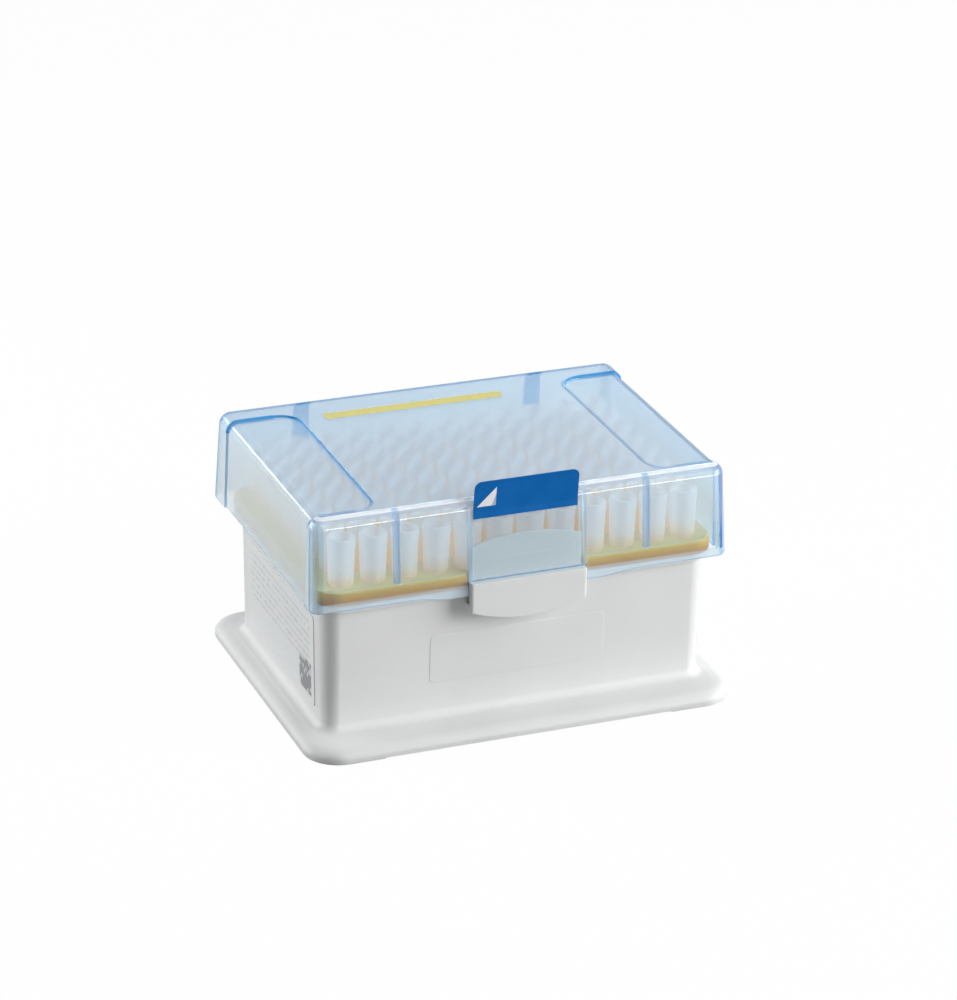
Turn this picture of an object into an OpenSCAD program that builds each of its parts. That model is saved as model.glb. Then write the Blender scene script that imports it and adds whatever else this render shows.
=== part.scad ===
// Box of 96 pipette tips: a white base with a foot, an amber tray that holds the tips
// by their seats, and a clear hinged lid closed by a press tab and a seal label.
// Origin: centre of the foot's underside. +Z is up, -Y is the front with the tab.

/* [Grid] */
// Distance between neighbouring tips
pitch = 9; // [8.8:0.1:11]

/* [Tip] */
// Overall length of a tip
tip_l = 53; // [46:0.5:55]
// Height of the hub above its seat
hub_h = 13.6; // [11:0.1:16.5]
// How far the hub's rim stands out from the seat
hub_flare = 0.5; // [0.3:0.05:0.6]
// Height of the rim
hub_rim_h = 2.2; // [1:0.1:3]
// Mouth of the socket
socket_d = 5.5; // [5:0.1:5.8]
// Depth of the socket
socket_l = 12.6; // [9:0.1:13]
// How much narrower the socket is at its bottom
socket_taper = 0.8; // [0.4:0.1:1.2]
// Outer diameter of the shank just below the seat
shank_d = 5.2; // [4.8:0.1:6.2]
// How far the seat stands out from the shank, to bear on the tray
seat_step = 0.7; // [0.5:0.05:0.8]
// Length of the shank down to its knee
knee_l = 20; // [14:0.5:26]
// Outer diameter at the knee
knee_d = 3.4; // [3:0.1:4]
// Outer diameter of the point
point_d = 1; // [0.9:0.05:1.4]
// Bore of the point
point_bore = 0.5; // [0.4:0.05:0.6]
// Wall of the shank
shank_wall = 0.6; // [0.5:0.05:0.8]

/* [Body] */
// Height of the rim that carries the tray
rim_z = 42.4; // [40:0.1:52]
// From the end tips' axes to the body's face, along the width
margin_x = 6.3; // [6:0.1:12]
// From the outer rows' axes to the body's face, along the depth
margin_y = 4.7; // [4.6:0.1:8]
// Wall of the body
body_wall = 1.5; // [1.2:0.1:1.8]
// How far each face leans in from the rim down to the foot
body_draft = 0.6; // [0.2:0.1:1.2]
// Corner radius of the body
body_r = 5; // [3:0.5:7]
// Thickness of the floor
floor_t = 2.3; // [1.5:0.1:3]
// How far the flange stands out below the tray
flange_out = 1.5; // [1:0.1:1.6]
// Height of the flange
flange_h = 2.2; // [1.5:0.1:3]
// Width of the raised panel on the front face
panel_w = 50.8; // [30:0.1:60]
// Height of the raised panel
panel_h = 14.2; // [8:0.1:16]
// Height of the panel's lower edge
panel_z = 14.5; // [8:0.1:15]

/* [Foot] */
// How far the foot stands out at the ends
foot_out_x = 6.2; // [5:0.1:12]
// How far the foot stands out at the front and back
foot_out_y = 11.05; // [10:0.05:16]
// Corner radius of the foot
foot_r = 10; // [6:0.5:14]
// Height of the foot's straight edge
foot_edge_h = 2.4; // [1.8:0.1:3]
// Height of the rounded-over part of the edge
foot_round = 1.2; // [0.8:0.1:2]
// Rise of the foot's top face from its edge to the body
foot_rise = 0.8; // [0.4:0.1:2]
// Wall of the foot's skirt
foot_wall = 2; // [1.6:0.1:2.6]
// Depth of the recess under the foot
recess_h = 1.9; // [1:0.1:2]
// Length of the relieved stretch between the corner pads
relief_w = 83; // [60:1:90]
// Depth of the relief
relief_h = 0.5; // [0.3:0.1:0.8]

/* [Tray] */
// Height of the tray above the rim
tray_h = 4; // [3.4:0.1:6]
// Thickness of the tray's top plate
plate_t = 1.6; // [1.2:0.1:2.4]
// Thickness of the tray's outer skirt
skirt_t = 1.8; // [1.2:0.1:2]
// Clearance of a shank in its hole
hole_gap = 0.35; // [0.2:0.05:0.4]
// Wall of the sleeve below each hole
sleeve_wall = 0.6; // [0.5:0.1:0.8]
// Depth of the locating rim below the rim of the body
locate_h = 1.6; // [1:0.1:3]
// Thickness of the locating rim
locate_t = 1; // [0.8:0.1:1.2]
// Clearance of the locating rim in the body
locate_gap = 0.3; // [0.2:0.05:0.4]

/* [Lid] */
// Wall of the lid
lid_wall = 1.2; // [1:0.1:1.4]
// Thickness of the lid's top
lid_top_t = 1.3; // [1:0.1:1.6]
// From the tray to the lid's wall, at the ends
lid_gap_x = 1.8; // [1.2:0.1:3]
// From the tray to the lid's wall, at the front
lid_gap_front = 0.9; // [0.8:0.1:3]
// From the tray to the lid's wall, at the hinge
lid_gap_back = 6.9; // [6.6:0.1:9]
// How far the end walls lean in from bottom to top
lid_draft_x = 0.7; // [0.5:0.1:1.5]
// How far the front and back walls lean in from bottom to top
lid_draft_y = 1.9; // [1:0.1:2.2]
// Space between the hubs and the lid's top
headroom = 6.5; // [4:0.1:12]
// How far the lid reaches below the rim of the body
lid_lap = 0.6; // [0.2:0.1:1]
// Corner radius of the lid
lid_r = 3.5; // [3:0.5:6]
// Radius of the edge round the lid's top
lid_edge_r = 3.5; // [2:0.5:4]
// Depth of the steps at the two ends
grip_step = 0.7; // [0.4:0.1:0.9]
// Length of each step across the top
grip_l = 19.8; // [12:0.1:22]
// From the lid's front face to the steps
grip_front = 6.3; // [6:0.1:10]
// From the lid's back face to the steps
grip_back = 11.3; // [8:0.1:14]
// Corner radius of the steps
grip_r = 6; // [3:0.5:8]
// Thickness of the front ribs
rib_t = 1.6; // [1:0.1:2]
// How far the front ribs stand in from the wall
rib_out = 0.9; // [0.5:0.1:1.2]
// Thickness of the ribs beside the tab's panel
panel_rib_t = 1.2; // [0.8:0.1:1.6]
// How far the panel's ribs stand in from the wall
panel_rib_out = 0.4; // [0.2:0.1:0.5]
// Height of the ribs' lower ends above the tray
rib_gap = 1; // [0.5:0.1:3]

/* [Latch] */
// From the middle of the front to the middle of the latch
latch_x = 1.2; // [0:0.1:4]
// How far the tab stands out in front of the lid
tab_out = 1; // [0.1:0.1:1.5]
// Width of the press tab
tab_w = 33.4; // [24:0.2:36]
// Height of the tab's top edge above the rim
tab_top = 2.2; // [1.5:0.1:3]
// Height of the tab
tab_h = 11.8; // [9:0.1:14]
// Thickness of the tab
tab_t = 1.6; // [1.2:0.1:2]
// How far the tab's lower edge bows down
tab_bow = 3.2; // [1:0.1:4]
// Width of the tongue behind the lid's panel
tongue_w = 32.4; // [22:0.2:33]
// Height of the tongue's top above the tab
tongue_h = 11.4; // [6:0.1:12]
// How far the tongue's top bows up
tongue_bow = 2.4; // [0.5:0.1:4]
// Thickness of the tongue
tongue_t = 1.2; // [1:0.1:1.4]
// Clearance between the tongue and the lid
tongue_gap = 0.8; // [0.7:0.05:1]
// Clearance beside the tab, the tongue and the lugs
side_gap = 0.4; // [0.3:0.05:0.6]
// How far the lid's lower edge dips beside the tab
dip_h = 1.1; // [0.5:0.1:1.5]
// Length of the dip
dip_l = 15; // [8:0.5:18]

/* [Hinge] */
// Radius of the hinge pins
pin_r = 1.5; // [1.2:0.1:1.6]
// Running clearance of a pin in its bore
pin_gap = 0.06; // [0.03:0.01:0.1]
// Radius of the lid's knuckles
knuckle_r = 2.4; // [2.2:0.1:2.4]
// Radius of the lugs round the bores
lug_r = 2.2; // [2:0.1:2.2]
// Thickness of a lug
lug_t = 2.5; // [2:0.1:3]
// Width of a hinge arm
arm_w = 4; // [3:0.1:5]
// From the middle to a hinge arm
hinge_x = 35; // [30:0.5:40]
// Height of the hinge axis above the rim
hinge_up = 1.6; // [1.5:0.1:1.8]
// From the tray's back face to the hinge axis
hinge_out = 4.3; // [4.2:0.1:4.4]

/* [Labels] */
// From the middle of the front to the middle of the seal label
seal_x = 0.5; // [0:0.1:2]
// Width of the seal label
seal_w = 30; // [20:0.5:30]
// Thickness of the seal film
seal_t = 0.25; // [0.2:0.05:0.3]
// Length of the film's free flap above the glued part
flap_l = 9.2; // [6:0.1:12]
// Forward lean of the flap, in degrees
flap_lean = 4; // [0:1:8]
// Corner radius of the flap
flap_r = 2; // [1:0.5:4]
// Width of the end label
label_w = 56; // [40:1:58]
// Height of the end label
label_h = 27; // [15:1:28]
// Height of the end label's lower edge
label_z = 8.5; // [7:0.5:10]
// Thickness of the end label
label_t = 0.2; // [0.15:0.05:0.3]

/* [Hidden] */
columns = 12; // the 96-place format, one node for each column
rows = 8;
column_nodes = [for (i = [1:columns]) str("tips_column_", i < 10 ? "0" : "", i)];
cut = 0.01; // overshoot of a cut past a face
touch = 0.02; // gap between a glued film and its face
round_fn = 32; // facets of the blended corners
fine_fn = 64; // facets of circles, in previews only

grid_x = (columns - 1) * pitch;
grid_y = (rows - 1) * pitch;
body_w = grid_x + 2 * margin_x;
body_d = grid_y + 2 * margin_y;
foot_z = foot_edge_h + foot_round + foot_rise; // where the body leaves the foot
foot_w = body_w + 2 * foot_out_x;
foot_d = body_d + 2 * foot_out_y;
floor_z = recess_h + floor_t;
tray_w = body_w + 2 * flange_out;
tray_d = body_d + 2 * flange_out;
tray_r = body_r + flange_out;
seat_z = rim_z + tray_h;
hub_top_z = seat_z + hub_h;
seat_d = shank_d + 2 * seat_step;
hub_d = seat_d + 2 * hub_flare;
hole_r = shank_d / 2 + hole_gap;
sleeve_r = hole_r + sleeve_wall;

lid_z = rim_z - lid_lap;
lid_top_z = hub_top_z + headroom + lid_top_t;
lid_w = tray_w + 2 * (lid_gap_x + lid_wall);
lid_front = -tray_d / 2 - lid_gap_front - lid_wall;
lid_back = tray_d / 2 + lid_gap_back + lid_wall;
lid_d = lid_back - lid_front;
lid_y = (lid_front + lid_back) / 2;
lid_edge_z = lid_top_z - lid_edge_r; // where the edge rounding begins
lean_y = lid_draft_y / (lid_edge_z - lid_z); // slope of the lid's front face
grip_x = lid_w / 2 - lid_draft_x - grip_l;

tab_z = rim_z + tab_top;
tab_front = lid_front - tab_out;
tab_arc_r = (pow(tab_w / 2, 2) + pow(tab_bow, 2)) / (2 * tab_bow);
tongue_arc_r = (pow(tongue_w / 2, 2) + pow(tongue_bow, 2)) / (2 * tongue_bow);
tongue_top = tab_z + tongue_h;
notch_w = tab_w + 2 * side_gap;
notch_y = body_d / 2 - 0.2; // the tray's face behind the tongue

rib_x = 4 * pitch; // the front ribs line up with a gap between tips
hinge_y = tray_d / 2 + hinge_out;
hinge_z = rim_z + hinge_up;
pin_l = arm_w + 2 * (side_gap + lug_t - 0.2);
lug_x = arm_w / 2 + side_gap; // inner face of a lug, from the arm's middle
slot_x = lug_x + lug_t + side_gap;
slot_z = hinge_z + lug_r + 1.2;

// The lid's front face at height z
function front_at(z) = lid_front + (z - lid_z) * lean_y;

// Rectangle with round corners, centred on the origin
module rounded(w, d, r) {
    square([w - 2 * r, d], center = true);
    square([w, d - 2 * r], center = true);
    for (x = [-1, 1], y = [-1, 1])
        translate([x * (w / 2 - r), y * (d / 2 - r)]) circle(r);
}

// Upright plate with a rounded outline
module slab(w, d, r, z, h) {
    translate([0, 0, z]) linear_extrude(h) rounded(w, d, r);
}

// Profile in the YZ plane, carried along X over the width w
module across(w, x = 0) {
    translate([x - w / 2, 0, 0]) rotate([90, 0, 90]) linear_extrude(w) children();
}

// Profile in the XZ plane, carried along Y from y0 to y1
module along(y0, y1) {
    translate([0, y1, 0]) rotate([90, 0, 0]) linear_extrude(y1 - y0) children();
}

// One thing at each hinge
module at_hinges() {
    for (side = [-1, 1]) translate([side * hinge_x, 0, 0]) children();
}

// ---- base ----

// Drafted block of the body from low to high, made smaller by inset
module body_block(inset, low, high) {
    hull() {
        slab(body_w - 2 * (body_draft + inset), body_d - 2 * (body_draft + inset),
             body_r - inset, low, cut, $fn = round_fn);
        slab(body_w - 2 * inset, body_d - 2 * inset, body_r - inset, high - cut, cut,
             $fn = round_fn);
    }
}

// Foot plate with a rounded edge and a top face that rises to the body
module foot_plate() {
    hull() {
        slab(foot_w, foot_d, foot_r, 0, foot_edge_h, $fn = round_fn);
        for (a = [30, 60, 90]) {
            inset = foot_round * (1 - cos(a));
            slab(foot_w - 2 * inset, foot_d - 2 * inset, foot_r - inset,
                 foot_edge_h + foot_round * sin(a) - cut, cut, $fn = round_fn);
        }
        slab(body_w + 1, body_d + 1, body_r + 0.5, foot_z - cut, cut, $fn = round_fn);
    }
}

module foot_recess() {
    slab(foot_w - 2 * foot_wall, foot_d - 2 * foot_wall, foot_r - foot_wall,
         -cut, recess_h + cut);
    for (side = [-1, 1])
        translate([-relief_w / 2, side * foot_d / 2 - foot_wall - 1, -cut])
            cube([relief_w, 2 * foot_wall + 2, relief_h + cut]);
}

// Outline of tab and tongue, seen from the front
module latch_outline() {
    intersection() {
        translate([-tab_w / 2, tab_z - tab_h]) square([tab_w, tab_h]);
        translate([0, tab_z - tab_h + tab_arc_r]) circle(tab_arc_r);
    }
    intersection() {
        translate([-tongue_w / 2, tab_z - 3]) square([tongue_w, tongue_h + 3]);
        translate([0, tongue_top - tongue_arc_r]) circle(tongue_arc_r);
    }
}

// Section of tab and tongue: a ledge at the wall, the tab, and a step back to the tongue
module latch_section() {
    low = tab_z - tab_h;
    tongue_y = front_at(tab_z) + lid_wall + tongue_gap;
    top_y = front_at(tongue_top) + lid_wall + tongue_gap;
    wall_y = -body_d / 2 + body_draft + body_wall / 2;
    polygon([
        [tab_front, low], [tab_front, tab_z], [tongue_y, tab_z], [top_y, tongue_top],
        [top_y + tongue_t, tongue_top], [tongue_y + tongue_t, tab_z],
        [tongue_y + tongue_t, tab_z - tab_t], [tab_front + tab_t, tab_z - 2 * tab_t],
        [tab_front + tab_t, low + tab_t], [wall_y, low + tab_t], [wall_y, low]
    ]);
}

module latch() {
    translate([latch_x, 0, 0]) intersection() {
        across(tab_w) latch_section();
        along(tab_front - 1, 0) latch_outline();
    }
}

// Bearing lug on the flange, clear of the tray above it
module lug() {
    lean = atan2(hinge_z - rim_z + flange_h / 2, hinge_out);
    difference() {
        union() {
            translate([hinge_y, hinge_z]) circle(lug_r);
            translate([hinge_y, hinge_z]) rotate(lean + 180) translate([0, -lug_r])
                square([hinge_out + 2, 2 * lug_r]);
        }
        translate([0, rim_z]) square([tray_d / 2 + side_gap, 10]);
        square([body_d / 2 - body_wall / 2, rim_z + 10]);
    }
}

module base() {
    color("whitesmoke") difference() {
        union() {
            difference() {
                union() {
                    body_block(0, foot_z - foot_rise, rim_z);
                    foot_plate();
                    slab(tray_w, tray_d, tray_r, rim_z - flange_h, flange_h);
                    along(-body_d / 2 - 0.05, -body_d / 2 + body_wall)
                        translate([0, panel_z + panel_h / 2]) rounded(panel_w, panel_h, 1);
                }
                body_block(body_wall, floor_z, rim_z + cut);
                // the flange gives way to the tongue
                translate([latch_x - notch_w / 2, -tray_d / 2 - cut, rim_z - flange_h - cut])
                    cube([notch_w, flange_out + cut, flange_h + 1]);
            }
            latch();
            at_hinges() for (side = [-1, 1])
                across(lug_t, side * (lug_x + lug_t / 2)) lug();
        }
        foot_recess();
        at_hinges() translate([0, hinge_y, hinge_z]) rotate([0, 90, 0])
            cylinder(h = 2 * slot_x, r = pin_r + pin_gap, center = true, $fn = fine_fn);
    }
}

// ---- tray ----

module at_tips() {
    for (i = [0:columns - 1], j = [0:rows - 1])
        translate([i * pitch - grid_x / 2, j * pitch - grid_y / 2, 0]) children();
}

module tray() {
    mouth_w = body_w - 2 * (body_wall + locate_gap);
    mouth_d = body_d - 2 * (body_wall + locate_gap);
    mouth_r = body_r - body_wall - locate_gap;
    color("goldenrod") difference() {
        union() {
            difference() {
                slab(tray_w, tray_d, tray_r, rim_z, tray_h);
                slab(tray_w - 2 * skirt_t, tray_d - 2 * skirt_t, tray_r - skirt_t,
                     rim_z - cut, tray_h - plate_t + cut);
            }
            difference() {
                slab(mouth_w, mouth_d, mouth_r, rim_z - locate_h, tray_h - plate_t + locate_h);
                slab(mouth_w - 2 * locate_t, mouth_d - 2 * locate_t, mouth_r - locate_t,
                     rim_z - locate_h - cut, tray_h - plate_t + locate_h);
            }
            at_tips() translate([0, 0, rim_z])
                cylinder(h = tray_h - plate_t / 2, r = sleeve_r, $fn = fine_fn);
            // wall of the pocket for the tongue
            translate([latch_x - notch_w / 2 - skirt_t, -tray_d / 2 + skirt_t / 2, rim_z])
                cube([notch_w + 2 * skirt_t, skirt_t, tray_h - plate_t / 2]);
        }
        at_tips() translate([0, 0, rim_z - locate_h - cut])
            cylinder(h = tray_h + locate_h + 2 * cut, r = hole_r, $fn = fine_fn);
        translate([latch_x - notch_w / 2, -tray_d / 2 - cut, rim_z - cut])
            cube([notch_w, tray_d / 2 - notch_y + cut, tray_h + 1]);
    }
}

// ---- tips ----

// Half section of a tip, with its seat at height 0
module tip_section() {
    point_z = hub_h - tip_l;
    socket_z = hub_h - socket_l;
    socket_r = (socket_d - socket_taper) / 2;
    polygon([
        [hub_d / 2, hub_h], [hub_d / 2, hub_h - hub_rim_h],
        [hub_d / 2 - 0.3, hub_h - hub_rim_h - 0.3], [seat_d / 2, 0],
        [shank_d / 2, 0], [knee_d / 2, -knee_l], [point_d / 2, point_z],
        [point_bore / 2, point_z], [knee_d / 2 - shank_wall, -knee_l],
        [shank_d / 2 - shank_wall, -1], [socket_r - 0.2, socket_z - 0.4],
        [socket_r, socket_z], [socket_d / 2, hub_h]
    ]);
}

module tips_column(i) {
    color("lavender") for (j = [0:rows - 1])
        translate([i * pitch - grid_x / 2, j * pitch - grid_y / 2, seat_z])
            rotate_extrude($fn = fine_fn) tip_section();
}

// ---- lid ----

// Drafted block of the lid with a rounded top edge, made smaller by inset
module lid_block(inset, top_inset) {
    w = lid_w - 2 * inset;
    d = lid_d - 2 * inset;
    r = lid_r - inset * 0.8;
    edge = lid_edge_r - inset;
    translate([0, lid_y, 0]) hull() {
        slab(w, d, r, inset > 0 ? lid_z - cut : lid_z, cut, $fn = round_fn);
        for (a = [0, 22.5, 45, 67.5, 90]) {
            in = edge * (1 - cos(a));
            slab(w - 2 * (lid_draft_x + in), d - 2 * (lid_draft_y + in), max(r - in, 0.4),
                 lid_top_z - top_inset - edge * (1 - sin(a)) - cut, cut, $fn = round_fn);
        }
    }
}

// The two end zones that are stepped down, grown by inset
module grip_zones(inset) {
    front = lid_front + grip_front - inset;
    back = lid_back - grip_back + inset;
    for (side = [-1, 1])
        translate([side * (grip_x - inset + 30), (front + back) / 2, 0])
            slab(60, back - front, grip_r, lid_z - 1, lid_top_z);
}

// Rib on the inside of the front wall
module front_rib(x, w, out) {
    low = seat_z + rib_gap;
    across(w, x) polygon([
        [lid_front, low], [front_at(low) + lid_wall + out, low],
        [front_at(lid_top_z) + lid_wall + out, lid_top_z], [lid_front, lid_top_z]
    ]);
}

// Ribs on the front wall and the arms on the back wall, which the cavity leaves standing
module lid_ribs() {
    for (side = [-1, 1]) {
        front_rib(side * rib_x, rib_t, rib_out);
        front_rib(latch_x + side * (notch_w - panel_rib_t) / 2, panel_rib_t, panel_rib_out);
    }
    at_hinges() translate([-arm_w / 2, hinge_y - 0.6, hinge_z])
        cube([arm_w, lid_gap_back, lid_top_z]);
}

// The lower edge dips beside the tab
module edge_dip() {
    translate([latch_x, 0, 0]) along(lid_front, lid_front + lid_wall)
        for (side = [0, 1]) mirror([side, 0]) polygon([
            [notch_w / 2, lid_z + 1], [notch_w / 2, lid_z - dip_h],
            [notch_w / 2 + dip_l / 3, lid_z - dip_h], [notch_w / 2 + dip_l, lid_z],
            [notch_w / 2 + dip_l, lid_z + 1]
        ]);
}

module lid() {
    color("lightblue", 0.5) difference() {
        union() {
            difference() {
                lid_block(0, 0);
                difference() {
                    grip_zones(0);
                    lid_block(grip_step, grip_step);
                }
                difference() {
                    lid_block(lid_wall, lid_top_t);
                    difference() {
                        grip_zones(lid_wall);
                        lid_block(lid_wall + grip_step, lid_top_t + grip_step);
                    }
                    lid_ribs();
                }
            }
            edge_dip();
        }
        // the panel ends on the tab
        translate([latch_x - notch_w / 2, lid_front - 1, lid_z - dip_h - 1])
            cube([notch_w, lid_wall + 3, tab_z + 0.3 - lid_z + dip_h + 1]);
        // slots for the lugs
        at_hinges() for (side = [-1, 1])
            translate([side * (arm_w / 2 + slot_x) / 2 - (slot_x - arm_w / 2) / 2,
                       hinge_y - 2, lid_z - 1])
                cube([slot_x - arm_w / 2, lid_back - hinge_y + 3, slot_z - lid_z + 1]);
    }
    color("lightblue", 0.5) at_hinges() translate([0, hinge_y, hinge_z]) rotate([0, 90, 0]) {
        cylinder(h = arm_w, r = knuckle_r, center = true, $fn = fine_fn);
        cylinder(h = pin_l, r = pin_r, center = true, $fn = fine_fn);
    }
}

// ---- labels ----

// Film glued to the lid's front, with a free flap that stands above the edge
module seal_label() {
    glued_z = lid_edge_z;
    foot = tab_z + 0.5;
    flap_y = front_at(glued_z) - touch - flap_l * sin(flap_lean);
    flap_z = glued_z + flap_l * cos(flap_lean);
    color("royalblue") translate([seal_x, 0, 0]) intersection() {
        across(seal_w) polygon([
            [front_at(foot) - touch, foot], [front_at(glued_z) - touch, glued_z],
            [flap_y, flap_z], [flap_y - seal_t, flap_z],
            [front_at(glued_z) - touch - seal_t, glued_z], [front_at(foot) - touch - seal_t, foot]
        ]);
        along(lid_front - 5, lid_front + 10) translate([0, (foot + flap_z) / 2])
            rounded(seal_w, flap_z - foot, flap_r);
    }
}

// Paper label on the left end of the body
module end_label() {
    lean_x = body_draft / (rim_z - foot_z + foot_rise);
    face = -body_w / 2 + (rim_z - label_z) * lean_x - touch;
    top = face - label_h * lean_x;
    color("white") intersection() {
        along(-label_w / 2, label_w / 2) polygon([
            [face, label_z], [top, label_z + label_h],
            [top - label_t, label_z + label_h], [face - label_t, label_z]
        ]);
        translate([-body_w / 2 - 5, 0, label_z + label_h / 2]) rotate([90, 0, 90])
            linear_extrude(10) rounded(label_w, label_h, 1.5);
    }
}

base();
tray();
lid();
seal_label();
end_label();
for (i = [0:columns - 1])
    tips_column(i);
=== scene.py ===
"""Box of pipette tips: smooth mouldings, prints, plastics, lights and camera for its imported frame.

Everything is in the frame's own axes: +Z up, -Y the front with the press tab. Shapes are
written in millimetres, as their drawings would be, and become metres when a piece is made.
"""

import math

import bmesh
import bpy
from mathutils import Matrix, Vector


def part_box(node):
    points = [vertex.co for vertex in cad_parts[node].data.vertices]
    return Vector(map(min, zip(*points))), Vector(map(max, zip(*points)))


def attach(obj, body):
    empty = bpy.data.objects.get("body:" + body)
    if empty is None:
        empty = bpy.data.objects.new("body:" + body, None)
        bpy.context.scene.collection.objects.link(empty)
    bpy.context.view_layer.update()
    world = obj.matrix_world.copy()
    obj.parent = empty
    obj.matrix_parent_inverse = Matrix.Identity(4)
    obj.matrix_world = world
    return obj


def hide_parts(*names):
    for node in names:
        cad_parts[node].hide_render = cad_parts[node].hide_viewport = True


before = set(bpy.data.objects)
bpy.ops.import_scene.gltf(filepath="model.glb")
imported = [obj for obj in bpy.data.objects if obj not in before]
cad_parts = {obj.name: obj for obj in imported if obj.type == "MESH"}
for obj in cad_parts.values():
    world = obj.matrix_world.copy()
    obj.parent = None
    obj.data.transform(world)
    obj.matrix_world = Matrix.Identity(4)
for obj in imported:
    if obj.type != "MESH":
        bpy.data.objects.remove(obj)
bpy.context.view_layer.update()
mm = 0.001


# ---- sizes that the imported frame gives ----


def span(node):
    """The lowest and highest corner of a CAD node, in millimetres."""
    low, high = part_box(node)
    return low / mm, high / mm


foot_low, foot_high = span("base")
tray_low, tray_high = span("tray")
lid_low, lid_high = span("lid")
label_low, label_high = span("end_label")
first_tip, last_tip = span("tips_column_01"), span("tips_column_12")

rim_w, rim_d = tray_high.x - tray_low.x, tray_high.y - tray_low.y  # the tray and the base's flange
lid_w, lid_d = lid_high.x - lid_low.x, lid_high.y - lid_low.y
lid_middle = (lid_high.y + lid_low.y) / 2
seat_z = tray_high.z  # the tray's top, which carries the tips
tray_over_rim = 4.0
rim_z = seat_z - tray_over_rim  # the base's rim, which carries the tray
tips_across, tips_deep = 12, 8
pitch = (last_tip[0].x - first_tip[0].x) / (tips_across - 1)


# ---- sizes of the mouldings, in millimetres ----

foot_corner, foot_top = 10.0, 3.6  # the body's walls begin at the foot's top
body_corner, body_wall, body_draft = 5.0, 1.5, 0.6
flange_out, flange_corner = 1.5, 6.5  # the flange and the tray stand out from the body's walls
pads_x = 41.7  # between the corner pads the foot stands clear of the ground
plate, skirt = 1.6, 1.8  # the tray's top and its outer skirt

latch_x = 1.2  # the middle of the tab, its tongue and the lid's panel
tab_lift = 2.2  # how far the tab's top stands over the rim
panel_x = 16.5  # half the width of the lid's panel behind the seal
notch_x = 17.1  # half the width of the notches that the tab fits into

lid_wall, lid_roof, lid_bottom = 1.2, 1.3, 41.8
lid_corner, lid_edge, lid_lean_x, lid_lean_y = 3.5, 3.5, 0.7, 1.9
lid_top = lid_high.z
lid_edge_z = lid_top - lid_edge  # the walls round over from here into the roof
lid_slope = lid_lean_y / (lid_edge_z - lid_bottom)  # lean of the front and back walls
rib_x = 4 * pitch

# the steps at the lid's ends: their place, corner, depth and the slope into them
grip_front, grip_back, grip_x, grip_r, grip_step = -32.9, 34.5, 39.8, 6.0, 0.7
grip_slope = ((-0.35, 0.0), (-0.2, 0.12), (0.0, 0.5), (0.2, 0.88), (0.35, 1.0))

hinge_x, hinge_y, hinge_z = 35.0, 42.0, 44.0
arm_half, knuckle_r, pin_r = 2.0, 2.4, 1.5
lug_r, lug_bore, lug_gap, lug_t = 2.2, 1.56, 0.4, 2.5
pin_half = arm_half + lug_gap + lug_t - 0.2  # the pins end just inside the lugs


def body_lean(z):
    """How far the body's walls lean in at a height."""
    return body_draft * (rim_z - z) / (rim_z - foot_top)


# ---- meshes ----


class Shell:
    """The points and faces of one piece, in millimetres."""

    def __init__(self):
        self.points, self.faces = [], []

    def ring(self, points):
        first = len(self.points)
        self.points += [Vector(p) for p in points]
        return list(range(first, len(self.points)))

    def band(self, low, high, closed=True):
        """Quads between two rows of as many points."""
        count = len(low)
        for i in range(count if closed else count - 1):
            j = (i + 1) % count
            self.faces.append((low[i], low[j], high[j], high[i]))

    def bands(self, rows, closed=True):
        """Bands from each row to the next."""
        for low, high in zip(rows, rows[1:]):
            self.band(low, high, closed)

    def loft(self, rings, caps=(True, True)):
        """Joins rings of points one after the other, and closes the ends."""
        rows = [self.ring(r) for r in rings]
        self.bands(rows)
        if caps[0]:
            self.faces.append(tuple(reversed(rows[0])))
        if caps[1]:
            self.faces.append(tuple(rows[-1]))
        return rows

    def block(self, low, high):
        """A box between two corners."""
        (x0, y0, z0), (x1, y1, z1) = low, high
        self.loft([[(x0, y0, z), (x1, y0, z), (x1, y1, z), (x0, y1, z)] for z in (z0, z1)])

    def piece(self, name):
        """An object in the scene with its faces pointing outwards."""
        mesh = bpy.data.meshes.new(name)
        mesh.from_pydata([p * mm for p in self.points], [], self.faces)
        made = bmesh.new()
        made.from_mesh(mesh)
        bmesh.ops.remove_doubles(made, verts=made.verts, dist=0.001 * mm)
        bmesh.ops.recalc_face_normals(made, faces=made.faces)
        made.to_mesh(mesh)
        made.free()
        obj = bpy.data.objects.new(name, mesh)
        bpy.context.scene.collection.objects.link(obj)
        return obj


def settle(obj):
    """Turns an object's modifiers into its plain mesh."""
    bpy.context.view_layer.update()
    plain = bpy.data.meshes.new_from_object(obj.evaluated_get(bpy.context.evaluated_depsgraph_get()))
    old, name = obj.data, obj.data.name
    obj.modifiers.clear()
    obj.data = plain
    bpy.data.meshes.remove(old)
    plain.name = name
    return obj


def smooth(obj, sharp=40):
    """Shades a piece smooth, with edges over sharp degrees and flat faces kept crisp."""
    obj.data.shade_smooth()
    obj.data.set_sharp_from_angle(angle=math.radians(sharp))
    even = obj.modifiers.new("even", "WEIGHTED_NORMAL")
    even.keep_sharp = True
    return settle(obj)


def carve(obj, shell, operation="DIFFERENCE"):
    """Cuts a shell out of a piece, or joins it on with UNION."""
    tool = shell.piece("tool")
    cut = obj.modifiers.new("cut", "BOOLEAN")
    cut.object, cut.operation, cut.solver = tool, operation, "EXACT"
    settle(obj)
    bpy.data.objects.remove(tool)


def arc(middle, radius, start, stop, steps):
    """Points on an arc in a plane, with both ends, angles in degrees."""
    turns = [math.radians(start + (stop - start) * i / steps) for i in range(steps + 1)]
    return [(middle[0] + radius * math.cos(t), middle[1] + radius * math.sin(t)) for t in turns]


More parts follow.
